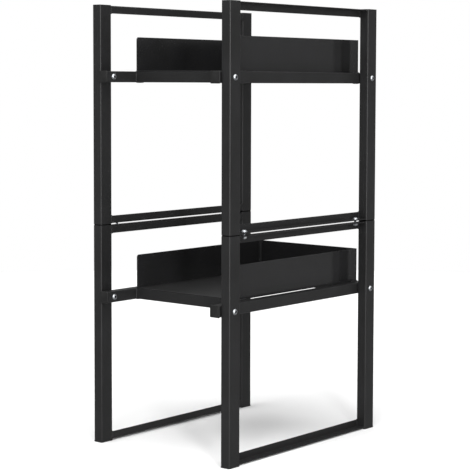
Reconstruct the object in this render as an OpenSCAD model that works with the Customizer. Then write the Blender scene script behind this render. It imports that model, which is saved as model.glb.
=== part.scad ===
// Free-standing two-shelf storage rack: four welded side frames stacked in pairs,
// tied across by two welded shelf carriers, each with a guarded sheet-metal tray.
// X runs from left to right, Y from front to back, Z upwards. The origin is on the
// floor, under the middle of the rack. All sizes are in millimetres.

/* [Overall size] */
// Width over the outer faces of the posts
rack_width = 410; // [340:1:600]
// Depth over the front and back faces of the posts
rack_depth = 532; // [420:1:700]
// Height of one side frame with the foot or joint collar under it
tier_height = 500; // [440:5:700]

/* [Posts] */
// Width of the post tube, seen from the front
post_width = 25; // [20:1:30]
// Depth of the post tube, seen from the side
post_depth = 35; // [28:1:40]
// Wall of the post tube
post_wall = 1.5; // [1:0.1:2]
// Outer corner radius of the post tube
post_corner = 3; // [2.5:0.1:4]

/* [Side frame bars] */
// Height of the upright leg of the bent bar
bar_leg = 17.5; // [14:0.5:24]
// Width of the level flange of the bent bar
bar_flange = 22; // [20:0.5:24]
// Thickness of the bent bar
bar_sheet = 2; // [1.5:0.1:2.4]
// Outer radius of the bend
bar_bend = 3; // [2.5:0.5:5]
// Distance of the bottom bar above the lower end of its posts
bottom_bar_rise = 1; // [0:0.5:4]
// Distance of the top bar below the upper end of its posts
top_bar_drop = 1.5; // [0:0.5:4]

/* [Shelf carriers] */
// Width and height of the square carrier tube
rail_size = 25; // [20:1:26]
// Wall of the carrier tube
rail_wall = 1.5; // [1:0.1:2]
// Outer corner radius of the carrier tube
rail_corner = 2.5; // [2.2:0.1:3]
// How far the capped rail ends stand out past the posts
rail_overhang = 6; // [5:1:12]
// Height of the rail axis above the lower end of its posts
rail_axis_height = 335.5; // [200:0.5:360]
// How far the crossbars stand above the rails, so that the tray clears them
crossbar_rise = 0.5; // [0:0.5:3]

/* [Trays] */
// Gap between the tray guard and each rail, seen from above
tray_side_gap = 1; // [0.5:0.5:6]
// Distance of the tray's front edge behind the front faces of the posts
tray_setback = 89; // [40:1:120]
// How far the tray's back stands out past the back faces of the posts
tray_overhang = 2; // [0:1:4]
// How far the tray's back stands out past the back crossbar
tray_lip = 4; // [3:0.5:6]
// Height of the tray guard
guard_height = 77.5; // [40:0.5:80]
// Thickness of the guard strip
guard_sheet = 1.2; // [1:0.1:2]
// Thickness of the tray floor
floor_sheet = 1.2; // [1:0.1:2]
// Outer bend radius of the guard at the two back corners
guard_corner = 9; // [6:1:20]
// Radius of the guard's upper front corners
guard_nose = 6; // [2:0.5:10]

/* [Plugs and caps] */
// Height of the foot under a post and of the collar between two posts
collar_height = 2.5; // [1.5:0.5:4]
// How far a foot stands out past its post
foot_lip = 0.5; // [0:0.1:1]
// How far the joint collar is set in from the post faces
collar_inset = 0.9; // [0.2:0.1:1.2]
// Length of a foot and of a top plug inside a tube
plug_length = 14; // [8:1:20]
// Length of the joint plug inside each of its two tubes
joint_length = 25; // [15:1:40]
// Thickness of a rail end cap's head
cap_head = 3; // [2:0.5:4]
// How far a rail end cap's head stands out past its tube
cap_lip = 1; // [0:0.1:1.5]
// Length of a rail end cap inside its tube
cap_insert = 8; // [4:1:10]

/* [Fasteners] */
// Bolt diameter
bolt_d = 6; // [5:1:6]
// Diameter of the domed bolt head
bolt_head_d = 13.5; // [10:0.5:14]
// Height of the domed bolt head
bolt_head_h = 4.2; // [3:0.1:4.5]
// Width across the flats of the head's hexagon socket
bolt_socket = 5; // [3:0.5:5]
// Depth of the hexagon socket
bolt_socket_depth = 2.6; // [1.5:0.1:3]
// Width across the flats of the nut
nut_flats = 10; // [9:0.5:10]
// Height of the nut
nut_height = 5; // [4:0.5:6]
// Outside of the barrel nuts' sleeves
sleeve_d = 8; // [7.5:0.5:9]
// Length of the sleeves inside the rails
sleeve_length = 12; // [10:1:16]
// Diameter of the washer
washer_d = 14; // [13:0.5:16]
// Thickness of the washer
washer_sheet = 1.2; // [0.8:0.1:1.6]
// Distance of a frame bolt from the nearest post
frame_bolt_inset = 28; // [20:1:60]

/* [Hidden] */
$fn = 48;
play = 0.1;                 // room around a plug in its tube, and around a bolt in its nut
hole_d = bolt_d + 0.4;      // clearance hole for a bolt
cut = 1;                    // how far a cutting tool runs past the metal
hex_ratio = 2 / sqrt(3);    // width over the corners of a hexagon over its width over the flats

frame_length = tier_height - collar_height;         // length of each post tube
post_x = (rack_width - post_width) / 2;             // middle of a post
post_y = (rack_depth - post_depth) / 2;
post_inner_x = rack_width / 2 - post_width;         // inner face of the posts
post_inner_y = rack_depth / 2 - post_depth;
bar_length = 2 * post_inner_y;

rail_x = post_inner_x - rail_size / 2;              // middle of a rail
rail_inner_x = post_inner_x - rail_size;
rail_half_length = rack_depth / 2 + rail_overhang - cap_head;

tray_half_width = rail_inner_x - tray_side_gap;
tray_front = -rack_depth / 2 + tray_setback;
tray_back = rack_depth / 2 + tray_overhang;
tray_base_height = rail_axis_height + rail_size / 2 + crossbar_rise;

frame_bolt_x = post_inner_x + (bar_sheet + bar_flange) / 2;
frame_bolt_y = post_inner_y - frame_bolt_inset;
rail_bolt_grip = post_width + rail_size;            // metal between the two heads
flange_top = collar_height + bottom_bar_rise + bar_sheet;   // above the top of the frame below
flange_bottom = -top_bar_drop - bar_sheet;
frame_bolt_grip = flange_top - flange_bottom;
bolt_end = 1.5;             // how far a bolt's end shows past its nut
sleeve_floor = 1;           // metal between a barrel nut's head and its bore
end_gap = 2;                // from a rail bolt's end to the rail's inner face

charcoal = [0.17, 0.17, 0.18];
black_plastic = [0.09, 0.09, 0.09];
zinc = [0.78, 0.79, 0.80];

SIDES = [["left", -1], ["right", 1]];
ENDS = [["front", -1], ["back", 1]];
TIERS = [["lower", 0], ["upper", 1]];

function join_name(a, b = "", c = "", d = "") =
    str(a, b == "" ? "" : "_", b, c == "" ? "" : "_", c, d == "" ? "" : "_", d);

// ---------- shared outlines and solids ----------

function frame_base(tier) = collar_height + tier * tier_height;
function rail_axis(tier) = frame_base(tier) + rail_axis_height;
function tray_base(tier) = frame_base(tier) + tray_base_height;

// Rectangle with round corners, centred on the origin
module rounded_rectangle(w, d, r) {
    square([w - 2 * r, d], center = true);
    square([w, d - 2 * r], center = true);
    for (x = [-1, 1], y = [-1, 1])
        translate([x * (w / 2 - r), y * (d / 2 - r)]) circle(r);
}

module tube_outline(w, d, r, wall) {
    difference() {
        rounded_rectangle(w, d, r);
        rounded_rectangle(w - 2 * wall, d - 2 * wall, r - wall);
    }
}

// Bent sheet in section: flange along +X, leg along +Y, outside of the bend at the origin
module angle_outline() {
    translate([bar_bend, 0]) square([bar_flange - bar_bend, bar_sheet]);
    translate([0, bar_bend]) square([bar_sheet, bar_leg - bar_bend]);
    intersection() {
        square(bar_bend);
        translate([bar_bend, bar_bend]) difference() {
            circle(bar_bend);
            circle(bar_bend - bar_sheet);
        }
    }
}

// Plug that fills the bore of a post, its head end at z = 0
module post_plug(length) {
    linear_extrude(length)
        rounded_rectangle(post_width - 2 * (post_wall + play), post_depth - 2 * (post_wall + play),
                          post_corner - post_wall);
}

module post_collar(grow) {
    linear_extrude(collar_height)
        rounded_rectangle(post_width + 2 * grow, post_depth + 2 * grow, post_corner);
}

// Domed head with a hexagon socket, its underside at z = 0
module domed_head() {
    dome_r = (pow(bolt_head_d / 2, 2) + pow(bolt_head_h, 2)) / (2 * bolt_head_h);
    difference() {
        rotate_extrude() intersection() {
            translate([0, bolt_head_h - dome_r]) circle(dome_r);
            square([bolt_head_d / 2, bolt_head_h]);
        }
        translate([0, 0, bolt_head_h - bolt_socket_depth])
            cylinder(d = bolt_socket * hex_ratio, h = bolt_socket_depth + cut, $fn = 6);
    }
}

// Domed bolt: the underside of the head at z = 0, the shank along -Z
module domed_bolt(shank) {
    domed_head();
    translate([0, 0, -shank]) cylinder(d = bolt_d, h = shank);
}

// Barrel nut: the same head facing -Z, its sleeve along +Z around the end of the bolt
module barrel_nut() {
    mirror([0, 0, 1]) domed_head();
    difference() {
        cylinder(d = sleeve_d, h = sleeve_length);
        translate([0, 0, sleeve_floor])
            cylinder(d = bolt_d + 2 * play, h = sleeve_length);
    }
}

// Hexagon nut: its bearing face at z = 0, its body along -Z
module hex_nut() {
    translate([0, 0, -nut_height]) difference() {
        cylinder(d = nut_flats * hex_ratio, h = nut_height, $fn = 6);
        translate([0, 0, -cut]) cylinder(d = bolt_d + 2 * play, h = nut_height + 2 * cut);
    }
}

// Children stand at each rail bolt, with +Z pointing out through the post
module at_rail_bolts(tier, x) {
    for (s = SIDES, e = ENDS)
        translate([s[1] * x, e[1] * post_y, rail_axis(tier)]) rotate([0, s[1] * 90, 0]) children();
}

// Children stand at each bolt that ties one side's two frames, at height z above the joint
module at_frame_bolts(side, z) {
    for (e = ENDS)
        translate([side * frame_bolt_x, e[1] * frame_bolt_y, tier_height + z]) children();
}

// ---------- side frames ----------

module post(tier, end, side) {
    color(charcoal) translate([side * post_x, end * post_y, frame_base(tier)]) difference() {
        linear_extrude(frame_length) tube_outline(post_width, post_depth, post_corner, post_wall);
        translate([0, 0, rail_axis_height]) rotate([0, 90, 0])
            cylinder(d = hole_d, h = post_width + 2 * cut, center = true);
    }
}

// Bar between the front and back post of one side; the bars that meet at the joint are drilled
module bar(tier, side, is_top) {
    level = is_top ? frame_length - top_bar_drop : bottom_bar_rise;
    at_joint = is_top != (tier == 1);
    color(charcoal) difference() {
        translate([side * post_inner_x, 0, frame_base(tier) + level])
            mirror([side < 0 ? 1 : 0, 0, 0]) rotate([90, 0, 0])
            linear_extrude(bar_length, center = true)
            mirror([0, is_top ? 1 : 0]) angle_outline();
        if (at_joint) at_frame_bolts(side, flange_bottom - cut)
            cylinder(d = hole_d, h = frame_bolt_grip + 2 * cut);
    }
}

module foot(end, side) {
    color(black_plastic) translate([side * post_x, end * post_y, 0]) {
        post_collar(foot_lip);
        translate([0, 0, collar_height]) post_plug(plug_length);
    }
}

module joint_plug(end, side) {
    color(black_plastic)
        translate([side * post_x, end * post_y, tier_height]) {
            post_collar(-collar_inset);
            translate([0, 0, -joint_length]) post_plug(2 * joint_length + collar_height);
        }
}

module top_plug(end, side) {
    color(black_plastic)
        translate([side * post_x, end * post_y, 2 * tier_height - plug_length]) post_plug(plug_length);
}

// ---------- shelf carriers ----------

module rail(tier, side) {
    color(charcoal) translate([side * rail_x, 0, rail_axis(tier)]) difference() {
        rotate([90, 0, 0]) linear_extrude(2 * rail_half_length, center = true)
            tube_outline(rail_size, rail_size, rail_corner, rail_wall);
        for (e = ENDS) translate([0, e[1] * post_y, 0]) rotate([0, side * 90, 0]) {
            cylinder(d = hole_d, h = rail_size);
            translate([0, 0, -rail_size]) cylinder(d = sleeve_d + 2 * play, h = rail_size);
        }
    }
}

module rail_caps(tier, side) {
    bore = rail_size - 2 * (rail_wall + play);
    head = rail_size + 2 * cap_lip;
    color(black_plastic) for (e = ENDS)
        translate([side * rail_x, e[1] * rail_half_length, rail_axis(tier)])
            rotate([-e[1] * 90, 0, 0]) {
                linear_extrude(cap_head) rounded_rectangle(head, head, rail_corner);
                translate([0, 0, -cap_insert])
                    linear_extrude(cap_insert) rounded_rectangle(bore, bore, rail_corner - rail_wall);
            }
}

module crossbar(tier, end) {
    y = end < 0 ? tray_front + rail_size / 2 : tray_back - tray_lip - rail_size / 2;
    color(charcoal) translate([0, y, rail_axis(tier) + crossbar_rise]) rotate([0, 90, 0])
        linear_extrude(2 * rail_inner_x, center = true)
        tube_outline(rail_size, rail_size, rail_corner, rail_wall);
}

// ---------- trays ----------

// Plan of the tray at a distance inside its outer face: square in front, round at the back
module tray_plan(inset) {
    half = tray_half_width - inset;
    back = tray_back - inset;
    r = guard_corner - inset;
    translate([-half, tray_front]) square([2 * half, back - r - tray_front]);
    translate([-half + r, tray_front]) square([2 * (half - r), back - tray_front]);
    for (x = [-1, 1]) translate([x * (half - r), back - r]) circle(r);
}

module tray_floor(tier) {
    color(charcoal) translate([0, 0, tray_base(tier)])
        linear_extrude(floor_sheet) tray_plan(guard_sheet);
}

// One strip bent into a U; its two upper front corners are rounded
module tray_guard(tier) {
    color(charcoal) translate([0, 0, tray_base(tier)]) difference() {
        linear_extrude(guard_height) difference() {
            tray_plan(0);
            tray_plan(guard_sheet);
            translate([-tray_half_width + guard_sheet, tray_front - cut])
                square([2 * (tray_half_width - guard_sheet), 2 * cut]);
        }
        translate([0, tray_front, guard_height - guard_nose]) rotate([90, 0, 90])
            linear_extrude(2 * tray_half_width + 2 * cut, center = true) difference() {
                translate([-cut, 0]) square([guard_nose + cut, guard_nose + cut]);
                translate([guard_nose, 0]) circle(guard_nose);
            }
    }
}

// ---------- fasteners ----------

module rail_bolts(tier) {
    color(zinc) at_rail_bolts(tier, rack_width / 2) domed_bolt(rail_bolt_grip - end_gap);
}

module rail_nuts(tier) {
    color(zinc) at_rail_bolts(tier, rail_inner_x) barrel_nut();
}

module frame_bolts(side) {
    color(zinc) at_frame_bolts(side, flange_top + washer_sheet)
        domed_bolt(frame_bolt_grip + washer_sheet + nut_height + bolt_end);
}

module frame_washers(side) {
    color(zinc) at_frame_bolts(side, flange_top) difference() {
        cylinder(d = washer_d, h = washer_sheet);
        translate([0, 0, -cut]) cylinder(d = hole_d, h = washer_sheet + 2 * cut);
    }
}

module frame_nuts(side) {
    color(zinc) at_frame_bolts(side, flange_bottom) hex_nut();
}

// ---------- the rack ----------

for (t = TIERS, e = ENDS, s = SIDES) {
    post(t[1], e[1], s[1]);
}
for (t = TIERS, s = SIDES) {
    bar(t[1], s[1], false);
    bar(t[1], s[1], true);
    rail(t[1], s[1]);
    rail_caps(t[1], s[1]);
}
for (e = ENDS, s = SIDES) {
    foot(e[1], s[1]);
    joint_plug(e[1], s[1]);
    top_plug(e[1], s[1]);
}
for (t = TIERS) {
    for (e = ENDS) crossbar(t[1], e[1]);
    tray_floor(t[1]);
    tray_guard(t[1]);
    rail_bolts(t[1]);
    rail_nuts(t[1]);
}
for (s = SIDES) {
    frame_bolts(s[1]);
    frame_washers(s[1]);
    frame_nuts(s[1]);
}
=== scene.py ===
import math

import bpy
from mathutils import Matrix, Vector


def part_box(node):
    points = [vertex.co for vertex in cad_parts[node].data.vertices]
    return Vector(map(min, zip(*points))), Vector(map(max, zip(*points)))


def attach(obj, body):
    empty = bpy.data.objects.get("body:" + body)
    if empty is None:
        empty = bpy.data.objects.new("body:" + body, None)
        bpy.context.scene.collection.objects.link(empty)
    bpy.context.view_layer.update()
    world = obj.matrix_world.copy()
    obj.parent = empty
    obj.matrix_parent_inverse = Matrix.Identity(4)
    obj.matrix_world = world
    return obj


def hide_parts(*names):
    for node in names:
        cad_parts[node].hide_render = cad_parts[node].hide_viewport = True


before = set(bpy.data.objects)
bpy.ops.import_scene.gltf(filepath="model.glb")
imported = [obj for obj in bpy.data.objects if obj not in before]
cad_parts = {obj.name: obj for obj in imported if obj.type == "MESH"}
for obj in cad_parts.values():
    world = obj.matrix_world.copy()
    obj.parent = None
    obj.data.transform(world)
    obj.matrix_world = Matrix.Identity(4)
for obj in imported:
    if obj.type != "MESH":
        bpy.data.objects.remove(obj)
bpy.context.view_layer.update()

scene = bpy.context.scene
mm = 0.001

tiers = ["lower", "upper"]
ends = {"front": -1, "back": 1}
sides = {"left": -1, "right": 1}

# seeds of the random draws: a kind starts with this one and adds one for its second tier or side
seeds = {
    "railBolts": 11,
    "railNuts": 21,
    "frame": 31,
    "frameWelds": 41,
    "carrierWelds": 51,
}


# small helpers

def addNode(tree, kind, values=None, links=None, **settings):
    # values fill sockets, links join sockets to other nodes' outputs, settings are the node's own options
    node = tree.nodes.new(kind)
    for name, value in settings.items():
        setattr(node, name, value)
    for key, value in (values or {}).items():
        node.inputs[key].default_value = value
    for key, (source, output) in (links or {}).items():
        tree.links.new(source.outputs[output], node.inputs[key])
    return node


def linear(hexColour):
    # sRGB hex to linear RGBA
    channels = [int(hexColour[i:i + 2], 16) / 255 for i in (1, 3, 5)]
    return [c / 12.92 if c <= 0.04045 else ((c + 0.055) / 1.055) ** 2.4 for c in channels] + [1.0]


def arc(centre, radius, start, end, steps):
    # points on an arc, angles in degrees
    turns = [math.radians(start + (end - start) * i / steps) for i in range(steps + 1)]
    return [(centre[0] + radius * math.cos(a), centre[1] + radius * math.sin(a)) for a in turns]


def meshObject(name, points, edges=(), faces=()):
    mesh = bpy.data.meshes.new(name)
    mesh.from_pydata(points, edges, faces)
    mesh.update()
    piece = bpy.data.objects.new(name, mesh)
    scene.collection.objects.link(piece)
    return piece


def finishPiece(piece, nodes, rim=0.0):
    # a small rounded rim keeps the flat faces flat, because its normals are hardened
    if rim:
        bevel = piece.modifiers.new("rim", "BEVEL")
        bevel.width = rim
        bevel.segments = 2
        bevel.limit_method = "ANGLE"
        bevel.angle_limit = math.radians(60)
        bevel.harden_normals = True
    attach(piece, "root")
    if nodes:
        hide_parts(*nodes)


def newTree(name, inputs):
    tree = bpy.data.node_groups.new(name, "GeometryNodeTree")
    tree.interface.new_socket("Geometry", in_out="INPUT", socket_type="NodeSocketGeometry")
    for label, kind, value in inputs:
        socket = tree.interface.new_socket(label, in_out="INPUT", socket_type="NodeSocket" + kind)
        if value is not None:
            socket.default_value = value
    tree.interface.new_socket("Geometry", in_out="OUTPUT", socket_type="NodeSocketGeometry")
    return tree, addNode(tree, "NodeGroupInput")


def endTree(tree, group, source, output):
    real = addNode(tree, "GeometryNodeRealizeInstances", links={"Geometry": (source, output)})
    painted = addNode(tree, "GeometryNodeSetMaterial",
                      links={"Geometry": (real, "Geometry"), "Material": (group, "Material")})
    addNode(tree, "NodeGroupOutput", links={"Geometry": (painted, "Geometry")})


def runTree(base, tree, inputs):
    # evaluates the tree on the base object once and returns the result as a plain mesh object
    modifier = base.modifiers.new(tree.name, "NODES")
    modifier.node_group = tree
    for item in tree.interface.items_tree:
        if item.in_out == "INPUT" and item.name in inputs:
            modifier[item.identifier] = inputs[item.name]
    graph = bpy.context.evaluated_depsgraph_get()
    mesh = bpy.data.meshes.new_from_object(base.evaluated_get(graph), depsgraph=graph)
    name = base.name
    bpy.data.objects.remove(base)
    piece = bpy.data.objects.new(name, mesh)
    mesh.name = name
    scene.collection.objects.link(piece)
    return piece


# materials

def newMaterial(name, **values):
    material = bpy.data.materials.new(name)
    material.use_nodes = True
    tree = material.node_tree
    shader = tree.nodes["Principled BSDF"]
    for key, value in values.items():
        shader.inputs[key].default_value = value
    place = addNode(tree, "ShaderNodeTexCoord")
    return material, tree, shader, place


# the part of a noise texture's range that is stretched over the whole change of gloss or colour
noise = {
    "gloss": (0.3, 0.7),
    "colour": (0.35, 0.65),
}


def linkRange(tree, source, output, low, high, socket):
    spread = addNode(tree, "ShaderNodeMapRange",
                     {"From Min": noise["gloss"][0], "From Max": noise["gloss"][1],
                      "To Min": low, "To Max": high},
                     {"Value": (source, output)})
    tree.links.new(spread.outputs["Result"], socket)


def linkColours(tree, source, output, dark, light, socket):
    ramp = addNode(tree, "ShaderNodeValToRGB", links={"Fac": (source, output)})
    for stop, place, colour in zip(ramp.color_ramp.elements, noise["colour"], (dark, light)):
        stop.position = place
        stop.color = linear(colour)
    tree.links.new(ramp.outputs["Color"], socket)


coat = {
    "tube": {"colours": ("#181818", "#1e1e1f"), "roughness": (0.38, 0.48), "dimples": 0.35},
    # painted light: the guard and pan carry the same powder as the tubes, and their lighter colours stand
    # for how light falls on the sheets
    "guard": {"colours": ("#1f1f1f", "#222223"), "roughness": (0.13, 0.17), "dimples": 0.15},
    "pan": {"colours": ("#282828", "#2c2c2d"), "roughness": (0.28, 0.34), "dimples": 0.2},
    "weld": {"colours": ("#181818", "#1e1e1f"), "roughness": (0.3, 0.45), "dimples": 0.8},
    "peel": 4.5 * mm,      # real orange peel is nearer 1.5 mm, drawn coarser so that it shows
    "peelDepth": 0.02 * mm,
    "cloud": 60 * mm,      # slow change of gloss where the powder lay thicker
    "cloudShare": 0.6,     # the fine grain has the rest
    "grain": 1.2 * mm,
}


def powderCoat(name, colours, roughness, dimples):
    # polyester powder coat, black semi-gloss, sprayed and baked: even, faintly dimpled, soft reflections
    material, tree, shader, place = newMaterial(name, IOR=1.5)
    cloud = addNode(tree, "ShaderNodeTexNoise", {"Scale": 1 / coat["cloud"], "Detail": 3.0},
                    {"Vector": (place, "Object")})
    grain = addNode(tree, "ShaderNodeTexNoise", {"Scale": 1 / coat["grain"], "Detail": 2.0},
                    {"Vector": (place, "Object")})
    peel = addNode(tree, "ShaderNodeTexNoise", {"Scale": 1 / coat["peel"], "Detail": 1.5, "Roughness": 0.4},
                   {"Vector": (place, "Object")})
    mixed = addNode(tree, "ShaderNodeMath", {1: coat["cloudShare"]}, {0: (cloud, "Fac")},
                    operation="MULTIPLY")
    both = addNode(tree, "ShaderNodeMath", {1: 1 - coat["cloudShare"]}, {0: (grain, "Fac"), 2: (mixed, 0)},
                   operation="MULTIPLY_ADD")
    linkColours(tree, both, 0, *colours, shader.inputs["Base Color"])
    linkRange(tree, both, 0, *roughness, shader.inputs["Roughness"])
    bump = addNode(tree, "ShaderNodeBump", {"Strength": dimples, "Distance": coat["peelDepth"]},
                   {"Height": (peel, "Fac")})
    tree.links.new(bump.outputs["Normal"], shader.inputs["Normal"])
    return material


moulding = {
    "cap": {"colours": ("#121212", "#191919"), "gloss": 0.5},
    # painted shade: the joint plug is drawn near black with almost no gloss, standing for the shade in the
    # groove between two posts
    "sleeve": {"colours": ("#040404", "#080808"), "gloss": 0.1},
    "roughness": (0.48, 0.6),
    "spark": 0.9 * mm,     # spark-eroded mould texture
    "sparkDepth": 0.03 * mm,
    "sparkStrength": 0.5,
    "flow": 12 * mm,       # soft changes of gloss left by the flow of the melt
}


def mouldedBlack(name, colours, gloss):
    # injection-moulded in a spark-eroded mould, so duller than the coat, with a fine even grain.
    # Polyethylene keeps the gloss of plastic. The joint plug's near-black colour and weak gloss are painted
    # shade for the deep groove between two posts
    material, tree, shader, place = newMaterial(name, **{"Specular IOR Level": gloss})
    spark = addNode(tree, "ShaderNodeTexVoronoi", {"Scale": 1 / moulding["spark"]},
                    {"Vector": (place, "Object")})
    flow = addNode(tree, "ShaderNodeTexNoise", {"Scale": 1 / moulding["flow"], "Detail": 3.0},
                   {"Vector": (place, "Object")})
    linkColours(tree, flow, "Fac", *colours, shader.inputs["Base Color"])
    linkRange(tree, flow, "Fac", *moulding["roughness"], shader.inputs["Roughness"])
    bump = addNode(tree, "ShaderNodeBump",
                   {"Strength": moulding["sparkStrength"], "Distance": moulding["sparkDepth"]},
                   {"Height": (spark, "Distance")})
    tree.links.new(bump.outputs["Normal"], shader.inputs["Normal"])
    return material


zinc = {
    "colours": ("#a9adb3", "#d9dbdc"),
    "recess": "#2b2c2e",   # painted shade inside a bolt's socket
    "roughness": (0.38, 0.52),
    "spangle": 1.6 * mm,
    "scratch": 0.5 * mm,
    "scratchDepth": 0.01 * mm,
    "scratchStrength": 0.3,
}


def brightZinc(name):
    # cold-headed steel with bright zinc plating: bluish white metal with a light tumbling haze
    material, tree, shader, place = newMaterial(name, Metallic=1.0)
    spangle = addNode(tree, "ShaderNodeTexNoise", {"Scale": 1 / zinc["spangle"], "Detail": 4.0},
                      {"Vector": (place, "Object")})
    scratch = addNode(tree, "ShaderNodeTexNoise", {"Scale": 1 / zinc["scratch"], "Detail": 2.0},
                      {"Vector": (place, "Object")})
    # 6 and 7 are the two colours of a Mix node, and 2 is its mixed colour
    plated = addNode(tree, "ShaderNodeMix", {7: linear(zinc["recess"])}, data_type="RGBA")
    linkColours(tree, spangle, "Fac", *zinc["colours"], plated.inputs[6])
    # painted shade: a point attribute mixes a dark colour into the socket, standing for the shade in the
    # recess
    recess = addNode(tree, "ShaderNodeAttribute", attribute_name="recess")
    tree.links.new(recess.outputs["Fac"], plated.inputs["Factor"])
    tree.links.new(plated.outputs[2], shader.inputs["Base Color"])
    linkRange(tree, scratch, "Fac", *zinc["roughness"], shader.inputs["Roughness"])
    bump = addNode(tree, "ShaderNodeBump",
                   {"Strength": zinc["scratchStrength"], "Distance": zinc["scratchDepth"]},
                   {"Height": (scratch, "Fac")})
    tree.links.new(bump.outputs["Normal"], shader.inputs["Normal"])
    return material


tubeCoat = powderCoat("blackPowderCoatedTube", **coat["tube"])
# lighter copies of the tube coat, with light painted into their colours
guardCoat = powderCoat("blackPowderCoatedGuard", **coat["guard"])
panCoat = powderCoat("blackPowderCoatedPan", **coat["pan"])
weldCoat = powderCoat("blackPowderCoatedWeld", **coat["weld"])
polyethylene = mouldedBlack("blackMouldedPolyethylene", **moulding["cap"])
# the joint plugs get painted shade: a near-black, almost glossless copy of the moulded black
jointPlugPaintedShade = mouldedBlack("blackMattRubber", **moulding["sleeve"])
zincPlate = brightZinc("brightZincPlatedSteel")
print("materials ready")


# bent sheet: a strip of sheet swept along the section that it is rolled or folded to

def buildBentSheetTree():
    tree, group = newTree("bentSheet", [
        ("Length", "Float", 0.5), ("Sheet", "Float", 0.0015), ("Nose", "Float", 0.0),
        ("Front", "Float", 0.0), ("Material", "Material", None)])
    path = addNode(tree, "GeometryNodeMeshToCurve", links={"Mesh": (group, "Geometry")})
    half = addNode(tree, "ShaderNodeMath", {1: -0.5}, {0: (group, "Length")}, operation="MULTIPLY")
    lift = addNode(tree, "ShaderNodeCombineXYZ", links={"Y": (half, 0)})
    strip = addNode(tree, "GeometryNodeCurvePrimitiveQuadrilateral",
                    links={"Width": (group, "Sheet"), "Height": (group, "Length")})
    stood = addNode(tree, "GeometryNodeTransform",
                    links={"Geometry": (strip, "Curve"), "Translation": (lift, "Vector")})
    swept = addNode(tree, "GeometryNodeCurveToMesh", {"Fill Caps": True},
                    {"Curve": (path, "Curve"), "Profile Curve": (stood, "Geometry")})
    # the nose rounds the upper corners of a strip's free ends: no point stands above the arc
    place = addNode(tree, "GeometryNodeInputPosition")
    split = addNode(tree, "ShaderNodeSeparateXYZ", links={"Vector": (place, "Position")})
    inset = addNode(tree, "ShaderNodeMath", links={0: (split, "Y"), 1: (group, "Front")},
                    operation="SUBTRACT")
    gap = addNode(tree, "ShaderNodeMath", links={0: (group, "Nose"), 1: (inset, 0)}, operation="SUBTRACT")
    left = addNode(tree, "ShaderNodeMath", {1: 0.0}, {0: (gap, 0)}, operation="MAXIMUM")
    noseSquare = addNode(tree, "ShaderNodeMath", links={0: (group, "Nose"), 1: (group, "Nose")},
                         operation="MULTIPLY")
    leftSquare = addNode(tree, "ShaderNodeMath", links={0: (left, 0), 1: (left, 0)}, operation="MULTIPLY")
    rest = addNode(tree, "ShaderNodeMath", links={0: (noseSquare, 0), 1: (leftSquare, 0)},
                   operation="SUBTRACT")
    rise = addNode(tree, "ShaderNodeMath", links={0: (rest, 0)}, operation="SQRT")
    start = addNode(tree, "ShaderNodeMath", links={0: (group, "Length"), 1: (group, "Nose")},
                    operation="SUBTRACT")
    limit = addNode(tree, "ShaderNodeMath", links={0: (start, 0), 1: (rise, 0)}, operation="ADD")
    lower = addNode(tree, "ShaderNodeMath", links={0: (split, "Z"), 1: (limit, 0)}, operation="MINIMUM")
    moved = addNode(tree, "ShaderNodeCombineXYZ",
                    links={"X": (split, "X"), "Y": (split, "Y"), "Z": (lower, 0)})
    nosed = addNode(tree, "GeometryNodeSetPosition",
                    links={"Geometry": (swept, "Mesh"), "Position": (moved, "Vector")})
    smooth = addNode(tree, "GeometryNodeSetShadeSmooth", links={"Geometry": (nosed, "Geometry")})
    endTree(tree, group, smooth, "Geometry")
    return tree


bentSheetTree = buildBentSheetTree()


def bentSheet(name, path, closed, length, sheet, material, nose=0.0, front=0.0):
    points = [(x, y, 0.0) for x, y in path]
    edges = [(i, i + 1) for i in range(len(points) - 1)]
    if closed:
        edges.append((len(points) - 1, 0))
    base = meshObject(name, points, edges)
    return runTree(base, bentSheetTree, {"Length": length, "Sheet": sheet, "Nose": nose,
                                         "Front": front, "Material": material})


tube = {
    "wall": 1.5 * mm,
    "postCorner": 3 * mm,
    "railCorner": 2.5 * mm,
    "cornerSteps": 7,
    "shoulder": 0.25 * mm,   # a flat face's own last point beside its corner, which keeps it looking flat
    "rim": 0.35 * mm,
}


def cornerPoints(cx, cy, radius, start, steps):
    # a quarter turn with one more point on each flat beside it
    first = math.radians(start)
    last = math.radians(start + 90)
    points = arc((cx, cy), radius, start, start + 90, steps)
    before = (points[0][0] + tube["shoulder"] * math.sin(first),
              points[0][1] - tube["shoulder"] * math.cos(first))
    after = (points[-1][0] - tube["shoulder"] * math.sin(last),
             points[-1][1] + tube["shoulder"] * math.cos(last))
    return [before] + points + [after]


def roundedRectangle(width, depth, radius, steps=None):
    steps = steps or tube["cornerSteps"]
    x = width / 2 - radius
    y = depth / 2 - radius
    corners = [(x, -y, -90), (x, y, 0), (-x, y, 90), (-x, -y, 180)]
    return [p for cx, cy, start in corners for p in cornerPoints(cx, cy, radius, start, steps)]


# a tube is drawn standing up, then turned to lie along its own axis
turnTo = {
    "X": Matrix.Rotation(math.radians(90), 4, "Y"),
    "Y": Matrix.Rotation(math.radians(-90), 4, "X"),
    "Z": Matrix.Identity(4),
}


def boxTube(name, node, axis, corner):
    low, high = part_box(node)
    size = high - low
    width, depth, length = {"X": (size.z, size.y, size.x), "Y": (size.x, size.z, size.y),
                            "Z": (size.x, size.y, size.z)}[axis]
    wall = tube["wall"]
    path = roundedRectangle(width - wall, depth - wall, corner - wall / 2)
    piece = bentSheet(name, path, True, length, wall, tubeCoat)
    stand = Matrix.Translation((low + high) / 2) @ turnTo[axis] @ Matrix.Translation((0, 0, -length / 2))
    piece.data.transform(stand)
    finishPiece(piece, [node], tube["rim"])


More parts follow.
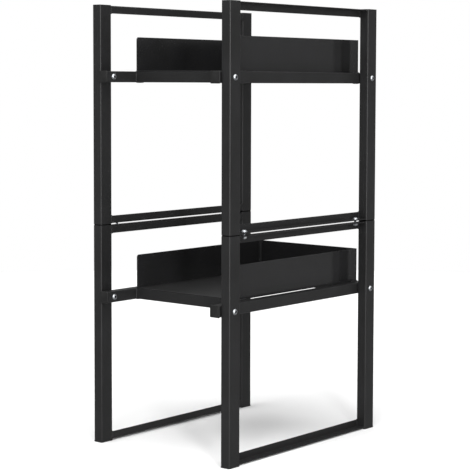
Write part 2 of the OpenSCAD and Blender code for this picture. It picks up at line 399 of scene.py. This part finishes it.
for tier in tiers:
    for side in sides:
        for end in ends:
            name = "post" + tier.title() + end.title() + side.title()
            boxTube(name, f"{tier}_{end}_{side}_post", "Z", tube["postCorner"])
        boxTube("rail" + tier.title() + side.title(), f"{tier}_{side}_rail", "Y", tube["railCorner"])
    for end in ends:
        boxTube("crossbar" + tier.title() + end.title(), f"{tier}_{end}_crossbar", "X", tube["railCorner"])
print("tubes ready")


angleBar = {
    "sheet": 2 * mm,
    "bend": 3 * mm,
    "steps": 6,
    "rim": 0.3 * mm,
}


def anglePath(leg, flange):
    # middle of the sheet, from the leg's end round the bend to the flange's end
    half = angleBar["sheet"] / 2
    bend = angleBar["bend"]
    corner = cornerPoints(bend, bend, bend - half, 180, angleBar["steps"])
    return [(half, leg)] + corner + [(flange, half)]


def placedAngle(node, side, top):
    # the section's own path, in its true place in X and Z
    low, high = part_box(node)
    leg = high.z - low.z
    flange = high.x - low.x
    x0 = low.x if side > 0 else high.x
    z0 = high.z if top else low.z
    flip = -1 if top else 1
    return [(x0 + side * x, z0 + flip * y) for x, y in anglePath(leg, flange)]


def angleLength(node):
    low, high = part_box(node)
    return high.y - low.y


for tier in tiers:
    for side, sign in sides.items():
        for place in ["bottom", "top"]:
            node = f"{tier}_{side}_{place}_bar"
            length = angleLength(node)
            piece = bentSheet("bar" + tier.title() + side.title() + place.title(),
                              placedAngle(node, sign, place == "top"), False, length,
                              angleBar["sheet"], tubeCoat)
            laid = Matrix.Rotation(math.radians(90), 4, "X")
            piece.data.transform(Matrix.Translation((0, length / 2, 0)) @ laid)
            finishPiece(piece, [node], angleBar["rim"])
print("bars ready")


tray = {
    "sheet": 1.2 * mm,
    "corner": 9 * mm,
    "cornerSteps": 14,
    "nose": 6 * mm,
    "noseSteps": 8,
    "rim": 0.25 * mm,
}


def guardPath(low, high, inset):
    # from the left front end round the back to the right front end
    radius = tray["corner"] - inset
    right = high.x - inset
    back = high.y - inset
    nose = [low.y + tray["nose"] * (1 - math.cos(math.pi / 2 * i / tray["noseSteps"]))
            for i in range(tray["noseSteps"] + 1)]
    nose.append(nose[-1] + tube["shoulder"])
    rightCorner = cornerPoints(right - radius, back - radius, radius, 0, tray["cornerSteps"])
    rightHalf = [(right, y) for y in nose] + rightCorner
    return [(-x, y) for x, y in rightHalf] + [(x, y) for x, y in reversed(rightHalf)]


def trayGuard(tier):
    node = f"{tier}_tray_guard"
    low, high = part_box(node)
    piece = bentSheet("trayGuard" + tier.title(), guardPath(low, high, tray["sheet"] / 2), False,
                      high.z - low.z, tray["sheet"], guardCoat, tray["nose"], low.y)
    piece.data.transform(Matrix.Translation((0, 0, low.z)))
    finishPiece(piece, [node], tray["rim"])


def plate(name, outline, bottom, top, material):
    count = len(outline)
    points = [(x, y, bottom) for x, y in outline] + [(x, y, top) for x, y in outline]
    walls = [(i, (i + 1) % count, count + (i + 1) % count, count + i) for i in range(count)]
    caps = [tuple(reversed(range(count))), tuple(range(count, 2 * count))]
    piece = meshObject(name, points, faces=walls + caps)
    piece.data.materials.append(material)
    piece.data.shade_smooth()
    return piece


def trayFloor(tier):
    node = f"{tier}_tray_floor"
    low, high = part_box(node)
    radius = tray["corner"] - tray["sheet"]
    corner = cornerPoints(high.x - radius, high.y - radius, radius, 0, tray["cornerSteps"])
    left = [(-x, y) for x, y in reversed(corner)]
    outline = [(low.x, low.y), (high.x, low.y)] + corner + left
    piece = plate("trayFloor" + tier.title(), outline, low.z, high.z, panCoat)
    finishPiece(piece, [node], tray["rim"])


for tier in tiers:
    trayGuard(tier)
    trayFloor(tier)
print("trays ready")


# moulded plugs: rounded outlines stacked up at different insets

plug = {
    "play": 0.1 * mm,
    "ease": 0.5 * mm,      # rounding of a head's edge
    "railEase": 1 * mm,
    "taper": 0.8 * mm,     # how much a plug narrows at its hidden end
    "insert": 8 * mm,      # how far a rail cap reaches into its rail
    "cornerSteps": 4,
    "leastCorner": 0.4 * mm,
    "crease": 40,
}


def stacked(name, width, depth, radius, levels, material):
    # each level is (inset, height): closed at both ends
    rings = []
    for inset, height in levels:
        corner = max(radius - inset, plug["leastCorner"])
        ring = roundedRectangle(width - 2 * inset, depth - 2 * inset, corner, plug["cornerSteps"])
        rings.append([(x, y, height) for x, y in ring])
    count = len(rings[0])
    points = [p for ring in rings for p in ring]
    faces = [tuple(reversed(range(count)))]
    for r in range(len(rings) - 1):
        a = r * count
        b = a + count
        faces += [(a + i, a + (i + 1) % count, b + (i + 1) % count, b + i) for i in range(count)]
    faces.append(tuple(range(len(points) - count, len(points))))
    piece = meshObject(name, points, faces=faces)
    piece.data.materials.append(material)
    piece.data.shade_smooth()
    piece.data.set_sharp_from_angle(angle=math.radians(plug["crease"]))
    return piece


def headLevels(low, high, ease):
    # levels of a head from its lower to its upper face, both edges eased by a quarter round
    quarter = [math.radians(a) for a in (0, 30, 60, 90)]
    bottom = [(ease * (1 - math.sin(a)), low + ease * (1 - math.cos(a))) for a in quarter]
    return bottom + [(inset, low + high - height) for inset, height in reversed(bottom)]


def postCorner(end, side):
    low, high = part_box(f"lower_{end}_{side}_post")
    return (low + high) / 2, high - low


def postPlug(name, node, end, side, levels, size, material=polyethylene):
    centre = postCorner(end, side)[0]
    piece = stacked(name, size.x, size.y, tube["postCorner"], levels, material)
    piece.data.transform(Matrix.Translation((centre.x, centre.y, 0)))
    finishPiece(piece, [node])


def postPlugs(end, side):
    label = end.title() + side.title()
    post = postCorner(end, side)[1]
    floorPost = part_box(f"lower_{end}_{side}_post")[0].z
    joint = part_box(f"lower_{end}_{side}_post")[1].z
    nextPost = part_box(f"upper_{end}_{side}_post")[0].z
    fit = tube["wall"] + plug["play"]

    low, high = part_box(f"{end}_{side}_foot")
    size = high - low
    lip = (size.x - post.x) / 2
    levels = headLevels(0, floorPost, plug["ease"])
    levels += [(fit + lip, floorPost), (fit + lip, high.z - plug["taper"]),
               (fit + lip + plug["taper"], high.z)]
    postPlug("foot" + label, f"{end}_{side}_foot", end, side, levels, size)

    low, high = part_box(f"{end}_{side}_joint_plug")
    inset = (post.x - (high.x - low.x)) / 2
    levels = [(fit + plug["taper"], low.z), (fit, low.z + plug["taper"]), (fit, joint), (inset, joint),
              (inset, nextPost), (fit, nextPost), (fit, high.z - plug["taper"]),
              (fit + plug["taper"], high.z)]
    postPlug("jointPlug" + label, f"{end}_{side}_joint_plug", end, side, levels, post, jointPlugPaintedShade)

    # the top plug ends flush with its post, with its edge eased in two steps
    low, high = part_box(f"{end}_{side}_top_plug")
    levels = [(fit + plug["taper"], low.z), (fit, low.z + plug["taper"]), (fit, high.z - plug["ease"]),
              (fit + plug["ease"] / 3, high.z - plug["ease"] / 4), (fit + plug["ease"], high.z)]
    postPlug("topPlug" + label, f"{end}_{side}_top_plug", end, side, levels, post)


def railCaps(tier, side):
    # both end caps of one rail make one piece
    node = f"{tier}_{side}_rail_caps"
    low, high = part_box(node)
    railLow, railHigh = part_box(f"{tier}_{side}_rail")
    head = high.y - railHigh.y
    lip = railLow.x - low.x
    fit = lip + tube["wall"] + plug["play"]
    levels = headLevels(0, head, plug["railEase"])
    insert = [(fit + plug["taper"], -plug["insert"]), (fit, plug["taper"] - plug["insert"]), (fit, 0)]
    halves = []
    for sign in ends.values():
        half = stacked("railCap", high.x - low.x, high.z - low.z, tube["railCorner"], insert + levels,
                       polyethylene)
        face = Vector(((low.x + high.x) / 2, railHigh.y if sign > 0 else railLow.y, (low.z + high.z) / 2))
        half.data.transform(Matrix.Translation(face) @ Matrix.Rotation(math.radians(-90 * sign), 4, "X"))
        halves.append(half)
    with bpy.context.temp_override(active_object=halves[0], selected_editable_objects=halves):
        bpy.ops.object.join()
    halves[0].name = "railCaps" + tier.title() + side.title()
    finishPiece(halves[0], [node])


for side in sides:
    for end in ends:
        postPlugs(end, side)
    for tier in tiers:
        railCaps(tier, side)
print("plugs ready")


# fasteners: turned shapes, set out by one tree

bolt = {
    "shank": 6 * mm,
    "play": 0.1 * mm,        # between the shank and a nut
    "head": 13.5 * mm,
    "headHeight": 4.2 * mm,
    "headRim": 0.5 * mm,
    "headEase": 0.15 * mm,
    "edgeRound": 0.2 * mm,
    "domeSteps": 7,
    "socket": 5 * mm,
    "socketDepth": 2.6 * mm,
    "socketRound": 0.72,     # radius of the smooth ring around the socket, over its width
    "socketEase": 0.25 * mm,
    "pitch": 1 * mm,
    "threaded": 14 * mm,
    "threadDepth": 0.5 * mm,
    "threadRings": 4,        # rings of points to one turn
    "tipDepth": 0.8 * mm,    # how much the shank narrows at its tip
    "end": 1.5 * mm,         # how far a frame bolt stands out of its nut
    "endGap": 2 * mm,        # from a rail bolt's end to the rail's inner face
    "nutFlats": 10 * mm,
    "nutHeight": 5 * mm,
    "nutEdge": 0.15 * mm,
    "nutDrop": 0.1 * mm,     # from the bearing face to the top of a flat side
    "nutLead": 0.5 * mm,     # chamfer of the nut's bore
    "nutChamfer": 30,
    "washer": 14 * mm,
    "washerSheet": 1.2 * mm,
    "washerHole": 6.4 * mm,
    "washerEdge": 0.2 * mm,
    "sleeve": 8 * mm,
    "sleeveLength": 12 * mm,
    "sleeveFloor": 1 * mm,
    "sleeveEdge": 0.3 * mm,
    "crease": 32,
    "around": 48,            # points to one ring
}
around = bolt["around"]


def hexRadius(flats, angle):
    # distance from the middle to a hexagon's side in that direction
    sixth = math.pi / 3
    off = (angle + sixth / 2) % sixth - sixth / 2
    return flats / 2 / math.cos(off)


def turned(name, rings, closed):
    # each ring gives (radius, height) for an angle. An open shape has a point at each end of its axis
    points = []
    for ring in rings:
        for i in range(around):
            angle = 2 * math.pi * i / around
            radius, height = ring(angle)
            points.append((radius * math.cos(angle), radius * math.sin(angle), height))
    faces = []
    for r in range(len(rings) if closed else len(rings) - 1):
        a = r * around
        b = (r + 1) % len(rings) * around
        faces += [(a + i, b + i, b + (i + 1) % around, a + (i + 1) % around) for i in range(around)]
    if not closed:
        for ring, first in ((rings[0], 0), (rings[-1], len(points) - around)):
            pole = len(points)
            points.append((0, 0, ring(0)[1]))
            loop = [first + i for i in range(around)]
            if first:
                loop.reverse()
            faces += [(pole, loop[i], loop[(i + 1) % around]) for i in range(around)]
    piece = meshObject(name, points, faces=faces)
    piece.data.shade_smooth()
    piece.data.set_sharp_from_angle(angle=math.radians(bolt["crease"]))
    return piece


def circle(radius, height):
    return lambda angle: (radius, height)


def hexagon(flats, height):
    return lambda angle: (hexRadius(flats, angle), height)


def thread(height):
    # a helix: the crest climbs one pitch in each turn
    def ring(angle):
        phase = (height / bolt["pitch"] - angle / (2 * math.pi)) % 1
        return (bolt["shank"] / 2 - bolt["threadDepth"] * abs(2 * phase - 1), height)
    return ring


def domedHead(neck):
    # from the socket's floor over the dome and in along the underside, at height 0, to the neck
    radius = bolt["head"] / 2
    top = bolt["headHeight"]
    dome = (radius ** 2 + top ** 2) / (2 * top)
    floor = top - bolt["socketDepth"]

    def domeHeight(r):
        return top - dome + math.sqrt(dome ** 2 - r ** 2)

    inner = bolt["socket"] * bolt["socketRound"]
    ease = bolt["socketEase"]
    rings = [hexagon(bolt["socket"] * 0.5, floor), hexagon(bolt["socket"], floor),
             hexagon(bolt["socket"], domeHeight(inner) - ease),
             hexagon(bolt["socket"] + 1.4 * ease, domeHeight(inner))]
    # the dome stops just inside the widest ring, which leaves its edge slightly rounded
    steps = bolt["domeSteps"]
    for i in range(1, steps + 1):
        r = inner + (radius - bolt["edgeRound"] - inner) * i / steps
        rings.append(circle(r, domeHeight(r)))
    return rings + [circle(radius, bolt["headRim"]), circle(radius, bolt["headEase"]),
                    circle(radius - bolt["headEase"], 0), circle(neck, 0)]


# marks a socket's points for painted shade
def paintSocketShade(piece):
    # the first three rings and the first pole, which follows all the rings, make the socket
    recess = piece.data.attributes.new("recess", "FLOAT", "POINT")
    pole = len(piece.data.vertices) - 2
    for i in [*range(3 * around), pole]:
        recess.data[i].value = 1.0
    return piece


def domedBolt(name, length):
    # the shank runs down from the head, and its last stretch is threaded
    radius = bolt["shank"] / 2
    start = bolt["threaded"] - length
    run = bolt["threaded"] - bolt["pitch"]
    count = round(bolt["threadRings"] * run / bolt["pitch"])
    rings = domedHead(radius) + [circle(radius, start)]
    rings += [thread(start - run * i / count) for i in range(1, count + 1)]
    rings += [circle(radius - bolt["threadDepth"], -length + bolt["pitch"] / 2),
              circle(radius - bolt["tipDepth"], -length)]
    return paintSocketShade(turned(name, rings, False))


def barrelNut(name):
    # the same head on a sleeve that the end of the rail bolt is screwed into
    outer = bolt["sleeve"] / 2
    bore = bolt["shank"] / 2 + bolt["play"]
    end = -bolt["sleeveLength"]
    ease = bolt["sleeveEdge"]
    rings = domedHead(outer) + [circle(outer, end + ease), circle(outer - ease, end),
                                circle(bore + ease, end), circle(bore, end + ease),
                                circle(bore, -bolt["sleeveFloor"])]
    return paintSocketShade(turned(name, rings, False))


def hexNut(name):
    # bearing face at height 0. The chamfer is a cone, so it cuts the six corners in arcs
    flats = bolt["nutFlats"]
    height = bolt["nutHeight"]
    bore = bolt["shank"] / 2 + bolt["play"]
    lead = bolt["nutLead"]
    face = flats / 2 - bolt["nutEdge"]

    def chamfered(level, down):
        def ring(angle):
            radius = hexRadius(flats, angle)
            drop = (radius - flats / 2) * math.tan(math.radians(bolt["nutChamfer"])) + bolt["nutDrop"]
            return (radius, level + (drop if down else -drop))
        return ring

    rings = [circle(bore + lead, 0), circle(face, 0), chamfered(0, False), chamfered(-height, True),
             circle(face, -height), circle(bore + lead, -height), circle(bore, -height + lead),
             circle(bore, -lead)]
    return turned(name, rings, True)


def flatWasher(name):
    inner = bolt["washerHole"] / 2
    outer = bolt["washer"] / 2
    sheet = bolt["washerSheet"]
    edge = bolt["washerEdge"]
    rings = [circle(inner, sheet), circle(outer - edge, sheet), circle(outer, sheet - edge),
             circle(outer, edge), circle(outer - edge, 0), circle(inner, 0)]
    return turned(name, rings, True)


def buildFastenerTree():
    # one copy of the fastener on each point, each turned by chance. Its head points outwards (Outward 1),
    # inwards (-1) or up (0)
    tree, group = newTree("fasteners", [
        ("Fastener", "Object", None), ("Outward", "Float", 1.0), ("Seed", "Int", 3),
        ("Material", "Material", None)])
    shape = addNode(tree, "GeometryNodeObjectInfo", links={"Object": (group, "Fastener")})
    place = addNode(tree, "GeometryNodeInputPosition")
    split = addNode(tree, "ShaderNodeSeparateXYZ", links={"Vector": (place, "Position")})
    sign = addNode(tree, "ShaderNodeMath", links={0: (split, "X")}, operation="SIGN")
    outward = addNode(tree, "ShaderNodeMath", links={0: (sign, 0), 1: (group, "Outward")},
                      operation="MULTIPLY")
    level = addNode(tree, "ShaderNodeMath", links={0: (group, "Outward")}, operation="ABSOLUTE")
    upward = addNode(tree, "ShaderNodeMath", {0: 1.0}, {1: (level, 0)}, operation="SUBTRACT")
    axis = addNode(tree, "ShaderNodeCombineXYZ", links={"X": (outward, 0), "Z": (upward, 0)})
    aim = addNode(tree, "FunctionNodeAlignRotationToVector", links={"Vector": (axis, "Vector")}, axis="Z")
    spin = addNode(tree, "FunctionNodeRandomValue", {2: 0.0, 3: math.pi / 3}, {"Seed": (group, "Seed")})
    twist = addNode(tree, "ShaderNodeCombineXYZ", links={"Z": (spin, 1)})
    turn = addNode(tree, "FunctionNodeRotateRotation",
                   links={"Rotation": (aim, "Rotation"), "Rotate By": (twist, "Vector")},
                   rotation_space="LOCAL")
    copies = addNode(tree, "GeometryNodeInstanceOnPoints",
                     links={"Points": (group, "Geometry"), "Instance": (shape, "Geometry"),
                            "Rotation": (turn, "Rotation")})
    endTree(tree, group, copies, "Instances")
    return tree


fastenerTree = buildFastenerTree()


def fastenerSet(name, node, shape, spots, outward, seed):
    base = meshObject(name, spots)
    piece = runTree(base, fastenerTree, {"Fastener": shape, "Outward": float(outward), "Seed": seed,
                                         "Material": zincPlate})
    finishPiece(piece, [node])


def addFasteners():
    postWidth = postCorner("front", "right")[1].x
    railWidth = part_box("lower_right_rail")[1].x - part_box("lower_right_rail")[0].x
    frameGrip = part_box("left_frame_washers")[1].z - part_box("left_frame_nuts")[1].z
    railBolt = domedBolt("railBoltShape", postWidth + railWidth - bolt["endGap"])
    frameBolt = domedBolt("frameBoltShape", frameGrip + bolt["nutHeight"] + bolt["end"])
    barrel = barrelNut("barrelNutShape")
    nut = hexNut("nutShape")
    washer = flatWasher("washerShape")
    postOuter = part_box("lower_front_right_post")[1].x
    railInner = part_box("lower_right_rail")[0].x
    postY = postCorner("back", "right")[0].y
    for number, tier in enumerate(tiers):
        low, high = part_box(f"{tier}_right_rail")
        height = (low.z + high.z) / 2
        heads = [(sx * postOuter, sy * postY, height) for sx in (-1, 1) for sy in (-1, 1)]
        nuts = [(sx * railInner, sy * postY, height) for sx in (-1, 1) for sy in (-1, 1)]
        fastenerSet("railBolts" + tier.title(), f"{tier}_rail_bolts", railBolt, heads, 1,
                    seeds["railBolts"] + number)
        fastenerSet("railNuts" + tier.title(), f"{tier}_rail_nuts", barrel, nuts, -1,
                    seeds["railNuts"] + number)
    for number, side in enumerate(sides):
        low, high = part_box(f"{side}_frame_washers")
        x = (low.x + high.x) / 2
        y = high.y - (high.x - low.x) / 2
        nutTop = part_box(f"{side}_frame_nuts")[1].z
        for kind, shape, z in (("Bolts", frameBolt, high.z), ("Washers", washer, low.z),
                               ("Nuts", nut, nutTop)):
            fastenerSet("frame" + kind + side.title(), f"{side}_frame_{kind.lower()}", shape,
                        [(x, -y, z), (x, y, z)], 0, seeds["frame"] + number)
    for shape in (railBolt, frameBolt, barrel, nut, washer):
        bpy.data.objects.remove(shape)


addFasteners()
print("fasteners ready")


# weld beads: drops of metal laid one over the next along each seam

weld = {
    "width": 3.4 * mm,
    "pitch": 1.15 * mm,
    "overlap": 2.3,        # length of a drop over the pitch
    "cornerSteps": 3,      # of the seams that go round a crossbar's end
    "vary": (0.88, 1.1),   # width of a drop over the usual width
}


def buildWeldTree():
    tree, group = newTree("weldBeads", [
        ("Width", "Float", 0.004), ("Pitch", "Float", 0.001), ("Seed", "Int", 5),
        ("Material", "Material", None)])
    seam = addNode(tree, "GeometryNodeMeshToCurve", links={"Mesh": (group, "Geometry")})
    steps = addNode(tree, "GeometryNodeResampleCurve",
                    links={"Curve": (seam, "Curve"), "Length": (group, "Pitch")}, mode="LENGTH")
    drop = addNode(tree, "GeometryNodeMeshUVSphere", {"Segments": 10, "Rings": 6, "Radius": 0.5})
    tangent = addNode(tree, "GeometryNodeInputTangent")
    aim = addNode(tree, "FunctionNodeAlignRotationToVector", links={"Vector": (tangent, "Tangent")},
                  axis="Z")
    vary = addNode(tree, "FunctionNodeRandomValue", {2: weld["vary"][0], 3: weld["vary"][1]},
                   {"Seed": (group, "Seed")})
    wide = addNode(tree, "ShaderNodeMath", links={0: (vary, 1), 1: (group, "Width")}, operation="MULTIPLY")
    long = addNode(tree, "ShaderNodeMath", {1: weld["overlap"]}, {0: (group, "Pitch")},
                   operation="MULTIPLY")
    size = addNode(tree, "ShaderNodeCombineXYZ", links={"X": (wide, 0), "Y": (wide, 0), "Z": (long, 0)})
    drops = addNode(tree, "GeometryNodeInstanceOnPoints",
                    links={"Points": (steps, "Curve"), "Instance": (drop, "Mesh"),
                           "Rotation": (aim, "Rotation"), "Scale": (size, "Vector")})
    real = addNode(tree, "GeometryNodeRealizeInstances", links={"Geometry": (drops, "Instances")})
    smooth = addNode(tree, "GeometryNodeSetShadeSmooth", links={"Geometry": (real, "Geometry")})
    endTree(tree, group, smooth, "Geometry")
    return tree


weldTree = buildWeldTree()


def weldSeams(name, seams, seed):
    # each seam is a list of points and says whether it closes on itself
    points = []
    edges = []
    for seam, closed in seams:
        first = len(points)
        points += seam
        edges += [(first + i, first + i + 1) for i in range(len(seam) - 1)]
        if closed:
            edges.append((len(points) - 1, first))
    base = meshObject(name, points, edges)
    piece = runTree(base, weldTree, {"Width": weld["width"], "Pitch": weld["pitch"], "Seed": seed,
                                     "Material": weldCoat})
    finishPiece(piece, [])


def frameSeams(tier, side):
    seams = []
    for place in ["bottom", "top"]:
        node = f"{tier}_{side}_{place}_bar"
        end = angleLength(node) / 2
        path = placedAngle(node, sides[side], place == "top")
        seams += [([(x, y, z) for x, z in path], False) for y in (-end, end)]
    return seams


def carrierSeams(tier):
    seams = []
    for end in ends:
        low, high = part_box(f"{tier}_{end}_crossbar")
        centre = (low + high) / 2
        path = roundedRectangle(high.y - low.y, high.z - low.z, tube["railCorner"],
                                weld["cornerSteps"])
        seams += [([(x, centre.y + y, centre.z + z) for y, z in path], True) for x in (low.x, high.x)]
    return seams


for number, tier in enumerate(tiers):
    for side in sides:
        weldSeams("welds" + tier.title() + side.title(), frameSeams(tier, side),
                  seeds["frameWelds"] + number)
    weldSeams("weldsCarrier" + tier.title(), carrierSeams(tier), seeds["carrierWelds"] + number)
print("welds ready")


# stage, light and camera

studio = {
    "floorRadius": 3.2,
    "floorSteps": 96,
    "floorColours": ("#f4f4f4", "#f6f6f6"),
    "floorRoughness": 0.9,
    "skyLight": 0.27,       # what lights and is mirrored in the rack
    "skySeen": 1.0,         # the same sky where the camera looks past the rack
    "sunStrength": 3.6,
    "sunAngle": 80,         # so wide that it lights like a white ceiling
    "sunPlace": (0.5, -1.0, 4),
    "key": {"watts": 26, "place": (1.9, -3.2, 2.6), "target": (0, 0, 0.8), "size": (0.7, 1.2)},
    # tall and narrow: it draws the light line along the rounded corners
    "strip": {"watts": 90, "place": (2.75, -2.0, 0.5), "target": (0, 0, 0.5), "size": (0.4, 3.0)},
}


def addFloor():
    steps = studio["floorSteps"]
    turns = [2 * math.pi * i / steps for i in range(steps)]
    ring = [(math.cos(a) * studio["floorRadius"], math.sin(a) * studio["floorRadius"], 0) for a in turns]
    floor = meshObject("floor", ring, faces=[tuple(range(steps))])
    material, tree, shader, place = newMaterial("paleStudioFloor", Roughness=studio["floorRoughness"])
    cloud = addNode(tree, "ShaderNodeTexNoise", {"Scale": 2.0}, {"Vector": (place, "Object")})
    linkColours(tree, cloud, "Fac", *studio["floorColours"], shader.inputs["Base Color"])
    floor.data.materials.append(material)
    # not mirrored in the coat, so that the lower faces of the tubes stay dark
    floor.visible_glossy = False


def addSky():
    world = bpy.data.worlds.new("studio")
    scene.world = world
    world.use_nodes = True
    tree = world.node_tree
    background = tree.nodes["Background"]
    background.inputs["Color"].default_value = (1, 1, 1, 1)
    ray = addNode(tree, "ShaderNodeLightPath")
    strength = addNode(tree, "ShaderNodeMapRange",
                       {"To Min": studio["skyLight"], "To Max": studio["skySeen"]},
                       {"Value": (ray, "Is Camera Ray")})
    tree.links.new(strength.outputs["Result"], background.inputs["Strength"])


def addLight(name, kind, energy, place, target, **settings):
    data = bpy.data.lights.new(name, kind)
    data.energy = energy
    for key, value in settings.items():
        setattr(data, key, value)
    light = bpy.data.objects.new(name, data)
    scene.collection.objects.link(light)
    light.location = place
    light.rotation_euler = (Vector(target) - Vector(place)).to_track_quat("-Z", "Y").to_euler()


def addSoftbox(name, watts, place, target, size):
    addLight(name, "AREA", watts, place, target, shape="RECTANGLE", size=size[0], size_y=size[1])


camera = {
    "place": (2.3453, -2.7572, 0.8326),
    "turn": 38.08,
    "dip": 4.06,
    "roll": 0.32,
    "lens": 119.16,
    "sensor": 36,
    "shift": (-0.1383, -0.0945),
}


def addCamera():
    data = bpy.data.cameras.new("camera")
    data.sensor_width = camera["sensor"]
    data.lens = camera["lens"]
    data.shift_x, data.shift_y = camera["shift"]
    data.clip_end = 50
    eye = bpy.data.objects.new("camera", data)
    scene.collection.objects.link(eye)
    eye.matrix_world = (Matrix.Translation(camera["place"])
                        @ Matrix.Rotation(math.radians(camera["turn"]), 4, "Z")
                        @ Matrix.Rotation(math.radians(90 - camera["dip"]), 4, "X")
                        @ Matrix.Rotation(math.radians(camera["roll"]), 4, "Z"))
    scene.camera = eye


addFloor()
addSky()
addLight("ceilingSun", "SUN", studio["sunStrength"], studio["sunPlace"], (0, 0, 0),
         angle=math.radians(studio["sunAngle"]))
addSoftbox("keySoftbox", **studio["key"])
addSoftbox("stripSoftbox", **studio["strip"])
addCamera()
scene.view_settings.view_transform = "Standard"
print("studio ready")
